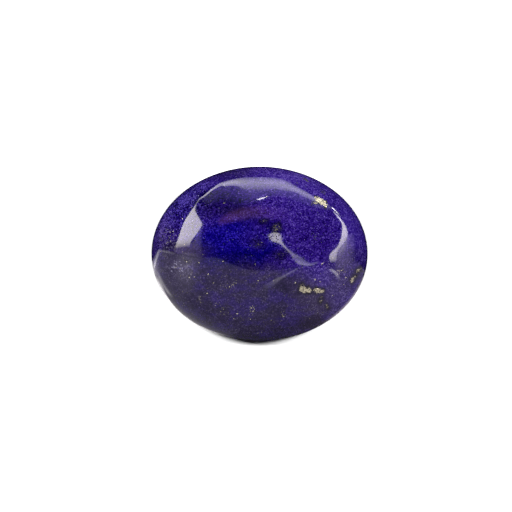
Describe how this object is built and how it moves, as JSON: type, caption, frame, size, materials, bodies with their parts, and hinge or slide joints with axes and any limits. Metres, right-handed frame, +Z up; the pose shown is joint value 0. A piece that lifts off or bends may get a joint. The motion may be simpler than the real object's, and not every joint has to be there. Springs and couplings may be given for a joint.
{
  "type": "lapis lazuli cabochon",
  "caption": "Oval lapis lazuli cabochon: deep blue stone with gold pyrite flecks, a polished dome and a flat back to rest on.",
  "frame": {"origin": "centre of the flat back, on the surface that the stone lies on", "axes": "+X along the oval's long axis, +Y along its short axis, +Z up through the top of the dome"},
  "size_m": [0.016, 0.013, 0.0054],
  "materials": {
    "polished_lapis": "polished",
    "pyrite": "polished"
  },
  "bodies": {
    "root": {"lapis_cabochon": "polished_lapis"}
  },
  "joints": []
}
